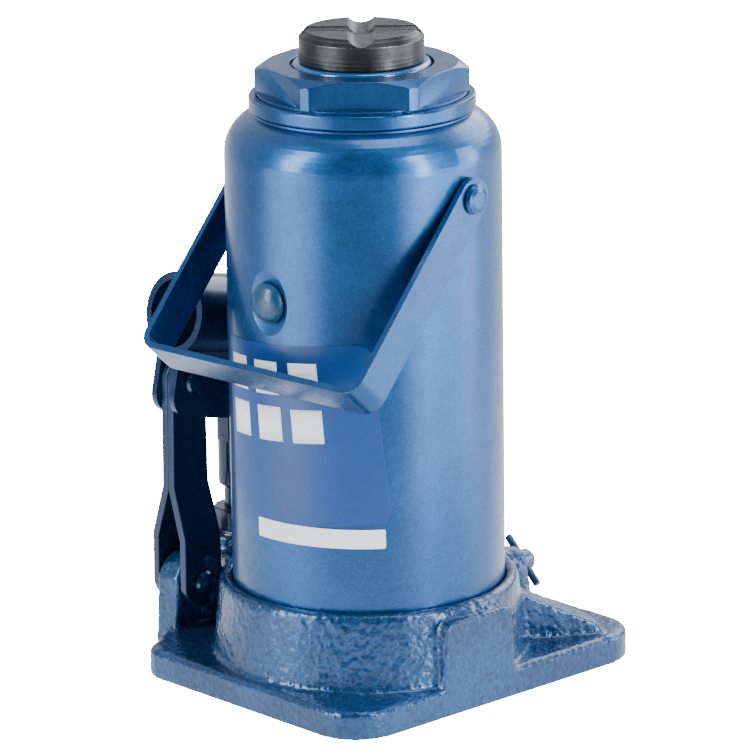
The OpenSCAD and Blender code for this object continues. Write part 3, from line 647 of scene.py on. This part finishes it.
@dataclass
class Label:
    """Blank panels printed on the label that wraps the reservoir."""

    radius: float = 50.32 * MM
    middle: float = -76.4
    tilt: float = 4.8
    centre_z: float = 102.4 * MM
    columns: int = 8
    rows: int = 2
    panels: tuple[tuple[float, float, float, float], ...] = (
        (-31.0, 27.4, 11.6, 12.2), (-14.4, 27.0, 11.6, 12.1), (2.2, 27.0, 11.6, 12.1),
        (-31.0, 10.6, 11.6, 12.5), (-14.2, 10.5, 11.5, 12.7), (1.7, 9.9, 12.4, 12.3),
    )

    def spot(self, across: float, up: float) -> Vector:
        """Returns a point on the label, from millimetres across and up on its sheet."""
        turn = math.radians(self.tilt)
        x = across * math.cos(turn) - up * math.sin(turn)
        z = across * math.sin(turn) + up * math.cos(turn)
        angle = math.radians(self.middle) + x * MM / self.radius
        across_x, across_y = self.radius * math.cos(angle), self.radius * math.sin(angle)
        return Vector((across_x, across_y, self.centre_z + z * MM))

    def build(self, finishes: Finishes) -> list[bpy.types.Object]:
        """Builds the blank panels.

        Args:
            finishes: the finish table.

        Returns:
            The panels.
        """
        made = []
        for index, (left, top, wide, tall) in enumerate(self.panels):
            bm = bmesh.new()
            lefts = [left + wide * a / self.columns for a in range(self.columns + 1)]
            tops = [top - tall * b / self.rows for b in range(self.rows + 1)]
            grid = [[bm.verts.new(self.spot(across, up)) for across in lefts] for up in tops]
            for b in range(self.rows):
                for a in range(self.columns):
                    bm.faces.new((grid[b][a], grid[b + 1][a], grid[b + 1][a + 1], grid[b][a + 1]))
            mesh = bpy.data.meshes.new(f"label_panel_{index + 1}")
            for face in bm.faces:
                face.smooth = True
            bmesh.ops.recalc_face_normals(bm, faces=bm.faces)
            bm.to_mesh(mesh)
            bm.free()
            obj = add_piece(f"label_panel_{index + 1}", mesh, finishes.get("sticker_white"), "base")
            thick = obj.modifiers.new("print", "SOLIDIFY")
            thick.thickness = PRINT_THICKNESS
            thick.offset = 0.0
            apply_modifiers(obj)
            made.append(obj)
        return made


@dataclass
class Studio:
    """White sweep, soft boxes and the camera."""

    azimuth: float = 47.33
    distance: float = 1.8743
    height: float = 0.63919
    aim_side: float = 0.00327
    aim_height: float = 0.11869
    roll: float = -0.80
    lens: float = 257.17
    shift_y: float = -0.02047
    floor_lift: float = 40.0
    near_glow: float = 1.5
    open_glow: float = 0.22
    cards: tuple[tuple[float, float, float, float], ...] = (
        (-14, 12, 34, 3.2), (114, 22, 44, 4.0), (205, 35, 75, 0.7), (-95, 10, 45, 0.4),
    )

    def camera(self) -> None:
        """Makes the camera and hands it to the scene."""
        az = math.radians(self.azimuth)
        place = Vector((self.distance * math.sin(az), -self.distance * math.cos(az), self.height))
        side = Vector((math.cos(az), math.sin(az), 0.0))
        ahead = (side * self.aim_side + Vector((0, 0, self.aim_height)) - place).normalized()
        right = ahead.cross(Vector((0, 0, 1))).normalized()
        up = right.cross(ahead)
        turn = math.radians(self.roll)
        right2 = right * math.cos(turn) + up * math.sin(turn)
        up2 = up * math.cos(turn) - right * math.sin(turn)
        data = bpy.data.cameras.new("studio_camera")
        data.lens = self.lens
        data.sensor_width = 36.0
        data.shift_y = self.shift_y
        data.clip_start = 0.05
        obj = bpy.data.objects.new("studio_camera", data)
        turnm = Matrix((right2, up2, -ahead)).transposed()
        obj.matrix_world = Matrix.Translation(place) @ turnm.to_4x4()
        bpy.context.scene.collection.objects.link(obj)
        bpy.context.scene.camera = obj

    def softbox(
        self,
        name: str,
        azimuth: float,
        elevation: float,
        reach: float,
        size: tuple[float, float],
        power: float,
        tint: Rgb = (1, 1, 1),
    ) -> None:
        """Adds a rectangular area light that faces the jack.

        Args:
            name: the light's name.
            azimuth: compass direction in degrees, 0 on -Y and 90 on +X.
            elevation: height angle in degrees.
            reach: distance in metres.
            size: width and height in metres.
            power: watts.
            tint: colour of the light.
        """
        az, el = math.radians(azimuth), math.radians(elevation)
        aim = Vector((0, 0, 0.11))
        flat = math.cos(el)
        spot = aim + reach * Vector((math.sin(az) * flat, -math.cos(az) * flat, math.sin(el)))
        data = bpy.data.lights.new(name, "AREA")
        data.shape = "RECTANGLE"
        data.size, data.size_y = size
        data.energy = power
        data.color = tint
        obj = bpy.data.objects.new(name, data)
        obj.location = spot
        obj.rotation_euler = (aim - spot).to_track_quat("-Z", "Y").to_euler()
        bpy.context.scene.collection.objects.link(obj)

    def build(self) -> None:
        """Builds the sweep, the lights and the world."""
        mesh = bpy.data.meshes.new("studio_floor")
        bm = bmesh.new()
        bmesh.ops.create_grid(bm, x_segments=2, y_segments=2, size=6.0)
        bmesh.ops.translate(bm, verts=bm.verts, vec=(0, 0, -0.0002))
        bm.to_mesh(mesh)
        bm.free()
        mat, g, bsdf, place = new_material("pale_floor")
        tone = g.ramp(g.noise(place, 1.5), 0.3, 0.7)
        g.put(bsdf.inputs["Base Color"], g.mix(tone, (0.16, 0.17, 0.19), (0.18, 0.19, 0.21)))
        bsdf.inputs["Roughness"].default_value = 0.6
        seen = g.add("LightPath").outputs["Is Camera Ray"]
        bsdf.inputs["Emission Color"].default_value = (0.97, 0.985, 1.0, 1.0)
        glow = self.card_glow(g, place)
        lift = g.math("MULTIPLY", seen, self.floor_lift)
        mirrored = g.math("MULTIPLY", g.math("SUBTRACT", 1.0, seen), glow)
        g.put(bsdf.inputs["Emission Strength"], g.math("ADD", lift, mirrored))
        mesh.materials.append(mat)
        floor = bpy.data.objects.new("studio_floor", mesh)
        bpy.context.scene.collection.objects.link(floor)
        self.world()
        self.softbox("key_left", -14, 26, 1.4, (0.40, 1.3), 24, (1.0, 0.99, 0.98))
        self.softbox("key_right", 97, 20, 1.4, (0.24, 1.3), 26, (0.97, 0.98, 1.0))
        self.softbox("side_back", 146, 8, 1.5, (0.45, 1.0), 12, (0.96, 0.97, 1.0))
        self.softbox("rim_back", 190, 30, 1.5, (1.4, 0.8), 14, (0.95, 0.96, 1.0))
        self.softbox("top", 150, 78, 1.4, (0.7, 0.7), 7)

    def card_glow(self, g: Graph, place: bpy.types.NodeSocket) -> bpy.types.NodeSocket:
        """Lights the table as white cards round the jack do, for reflections only.

        Args:
            g: the floor material's graph.
            place: object coordinates on the floor.

        Returns:
            The glow: even near the jack, in sectors farther out.
        """
        xyz = g.add("SeparateXYZ", {0: place})
        across, along = xyz.outputs[0], g.math("MULTIPLY", xyz.outputs[1], -1.0)
        turn = g.math("ARCTAN2", across, along)
        far = g.reach(across, along)
        cards = 0.0
        for centre, inner, outer, level in self.cards:
            offset = g.math("SUBTRACT", turn, math.radians(centre))
            wrap = g.add("Math", {0: offset, 1: math.pi, 2: -math.pi}, operation="WRAP")
            away = g.math("ABSOLUTE", wrap.outputs[0])
            card = g.ramp(away, math.radians(inner), math.radians(outer), level, 0.0)
            cards = g.math("ADD", cards, card)
        spread = g.ramp(far, 0.12, 0.65)
        near = g.math("MULTIPLY", g.math("SUBTRACT", 1.0, spread), self.near_glow)
        return g.math("ADD", near, g.math("MULTIPLY", spread, g.math("ADD", cards, self.open_glow)))

    def world(self) -> None:
        """Makes a studio surround: dark on the open side, white round the back."""
        world = bpy.data.worlds.new("studio_world")
        world.use_nodes = True
        g = Graph(world.node_tree)
        back = world.node_tree.nodes["Background"]
        az = math.radians(self.azimuth)
        view = g.add("TexCoord").outputs["Generated"]
        toward = (math.sin(az), -math.cos(az), 0.0)
        aim = g.add("VectorMath", {0: view, 1: toward}, operation="DOT_PRODUCT")
        front = g.ramp(aim.outputs["Value"], -0.45, 0.6)
        g.put(back.inputs["Color"], g.mix(front, (0.90, 0.93, 1.0), (0.03, 0.033, 0.04)))
        back.inputs["Strength"].default_value = 0.8
        bpy.context.scene.world = world


def main() -> None:
    logging.basicConfig(level=logging.INFO, format="%(message)s")
    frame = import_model()
    finishes = Finishes()
    finishes.dress_frame(frame)
    Studio().camera()
    CastBase().build(frame, finishes)
    parts = (
        SoftenedPart("carry_bail", "bail", "trim_blue", 0.95 * MM, 4),
        SoftenedPart("top_nut", "base", "trim_blue", 0.6 * MM),
        SoftenedPart("neck_ring", "base", "trim_blue", 0.4 * MM),
        SoftenedPart("handle_socket", "lever", "lever_blue", 0.9 * MM),
        SoftenedPart("link_left", "link", "lever_blue", 0.5 * MM),
        SoftenedPart("link_right", "link", "lever_blue", 0.5 * MM),
        SoftenedPart("pump_plunger", "plunger", "lever_blue", 0.4 * MM),
        SoftenedPart("pump_gland_nut", "base", "lever_blue", 0.3 * MM),
        SoftenedPart("extension_screw", "screw", "black_oxide", 0.45 * MM, 2, "worn_edge"),
    )
    for part in parts:
        part.build(frame, finishes)
    Revolved("ram_rim_paint", "ram_body", "rim_blue", (
        (24.8, 227.4), (25.04, 227.5), (25.04, 228.5), (24.9, 229.1), (24.56, 229.56),
        (24.1, 229.9), (23.4, 230.04), (18.2, 230.05), (18.0, 229.8),
    )).build(finishes)
    Label().build(finishes)
    Studio().build()


if __name__ == "__main__":
    main()
